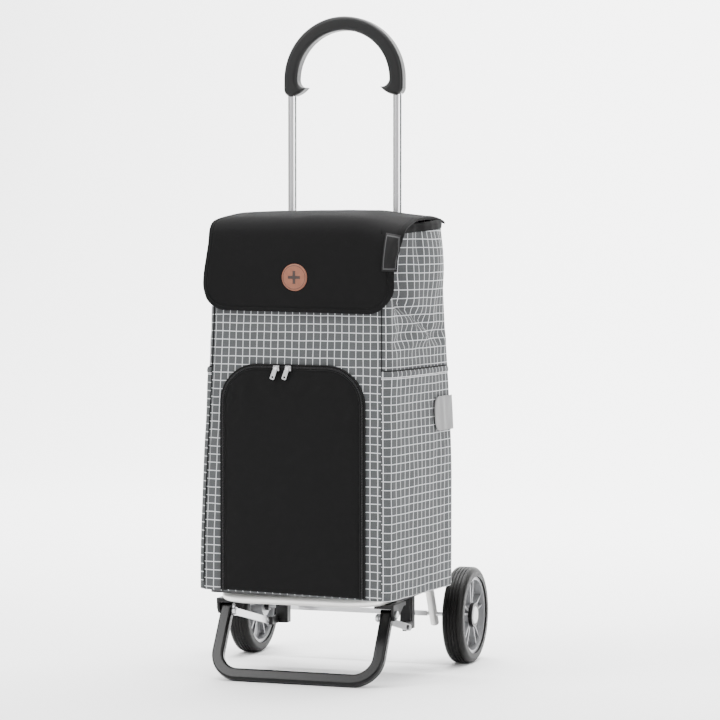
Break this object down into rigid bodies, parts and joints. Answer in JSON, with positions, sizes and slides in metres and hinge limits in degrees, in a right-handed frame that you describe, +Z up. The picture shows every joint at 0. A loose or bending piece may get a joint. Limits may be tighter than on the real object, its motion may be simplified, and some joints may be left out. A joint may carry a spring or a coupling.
{
  "type": "shopping trolley",
  "caption": "Two-wheeled shopping trolley: checked fabric bag with flap, zipped front pocket, tubular frame, ring handle and fold-under foot.",
  "frame": {"origin": "on the floor, at the middle of the trolley's overall box", "axes": "+Z up, -Y the bag's front, +X to the right as seen in front"},
  "size_m": [0.39, 0.4034, 1.007],
  "materials": {
    "grid_fabric": "woven check, matt",
    "black_fabric": "coated cloth, matt",
    "black_tape": "woven tape",
    "reflective": "retro-reflective film",
    "tan_leather": "embossed",
    "grip_plastic": "fine grain",
    "black_plastic": "moulded",
    "anodised": "satin",
    "silver_paint": "silver powder coat",
    "black_paint": "satin powder coat",
    "zinc": "zinc plated",
    "tyre_rubber": "matt",
    "rim_plastic": "silver moulded",
    "hub_black": "moulded",
    "cap_silver": "silver moulded",
    "nylon": "natural",
    "board": "stiff sheet"
  },
  "bodies": {
    "frame": {"handle_ring": "grip_plastic", "handle_pins": "zinc", "cross_bar": "anodised", "cross_bar_clamps": "black_plastic", "shelf_tube": "silver_paint", "leg_plugs": "silver_paint", "shelf_straps": "silver_paint", "foot_pivot_pins": "zinc", "stay_studs": "zinc", "axle_rod": "zinc", "axle_brace": "zinc", "axle_spacers": "black_plastic", "axle_clips": "zinc", "bag_front": "grid_fabric", "bag_back": "grid_fabric", "bag_base": "black_fabric", "base_board": "board", "mouth_hem": "black_tape", "seam_piping": "black_tape", "front_pocket": "black_fabric", "zip_tape": "black_tape", "reflectors": "reflective", "hang_straps": "black_tape", "closure_loop": "black_tape", "upright_tube_left": "anodised", "post_left": "black_plastic", "shelf_bracket_left": "black_plastic", "bag_side_left": "grid_fabric", "side_pocket_left": "grid_fabric", "upright_tube_right": "anodised", "post_right": "black_plastic", "shelf_bracket_right": "black_plastic", "bag_side_right": "grid_fabric", "side_pocket_right": "grid_fabric"},
    "wheel_left": {"tyre_left": "tyre_rubber", "rim_left": "rim_plastic", "bush_left": "nylon", "hub_ring_left": "hub_black", "hub_cap_left": "cap_silver"},
    "slider_left": {"zip_slider_left": "zinc"},
    "pull_left": {"zip_pull_left": "zinc"},
    "wheel_right": {"tyre_right": "tyre_rubber", "rim_right": "rim_plastic", "bush_right": "nylon", "hub_ring_right": "hub_black", "hub_cap_right": "cap_silver"},
    "slider_right": {"zip_slider_right": "zinc"},
    "pull_right": {"zip_pull_right": "zinc"},
    "foot": {"foot_loop": "black_paint", "foot_studs": "zinc"},
    "stays": {"stay_left": "zinc", "stay_right": "zinc"},
    "flap_cover": {"flap": "black_fabric", "flap_binding": "black_tape", "badge": "tan_leather", "side_label": "black_tape", "closure_hook": "black_tape"}
  },
  "joints": [
    {"name": "wheel_left_spin", "type": "hinge", "parent": "frame", "child": "wheel_left", "pos_m": [-0.178, 0.1267, 0.075], "axis": [1, 0, 0], "continuous": true},
    {"name": "wheel_right_spin", "type": "hinge", "parent": "frame", "child": "wheel_right", "pos_m": [0.178, 0.1267, 0.075], "axis": [1, 0, 0], "continuous": true},
    {"name": "foot_fold", "type": "hinge", "parent": "frame", "child": "foot", "pos_m": [0, -0.1073, 0.103], "axis": [1, 0, 0], "range_deg": [0, 82]},
    {"name": "stays_swing", "type": "hinge", "parent": "foot", "child": "stays", "pos_m": [0, -0.11065, 0.09743], "axis": [1, 0, 0], "range_deg": [-90, 0.5]},
    {"name": "flap_open", "type": "hinge", "parent": "frame", "child": "flap_cover", "pos_m": [0.014, 0.0494, 0.701], "axis": [-1, 0, 0], "range_deg": [0, 90]},
    {"name": "zip_left_slide", "type": "slide", "parent": "frame", "child": "slider_left", "axis": [-1, 0, 0], "range_m": [0, 0.026]},
    {"name": "pull_left_swing", "type": "hinge", "parent": "slider_left", "child": "pull_left", "pos_m": [-0.0148, -0.1999, 0.4725], "axis": [-0.9397, 0, 0.342], "range_deg": [0, 80]},
    {"name": "zip_right_slide", "type": "slide", "parent": "frame", "child": "slider_right", "axis": [1, 0, 0], "range_m": [0, 0.054]},
    {"name": "pull_right_swing", "type": "hinge", "parent": "slider_right", "child": "pull_right", "pos_m": [0.0038, -0.1999, 0.4725], "axis": [-0.9397, 0, 0.342], "range_deg": [0, 80]}
  ],
  "couplings": [
    {"joint": "stays_swing", "follows": "foot_fold", "ratio": -1.0114}
  ]
}
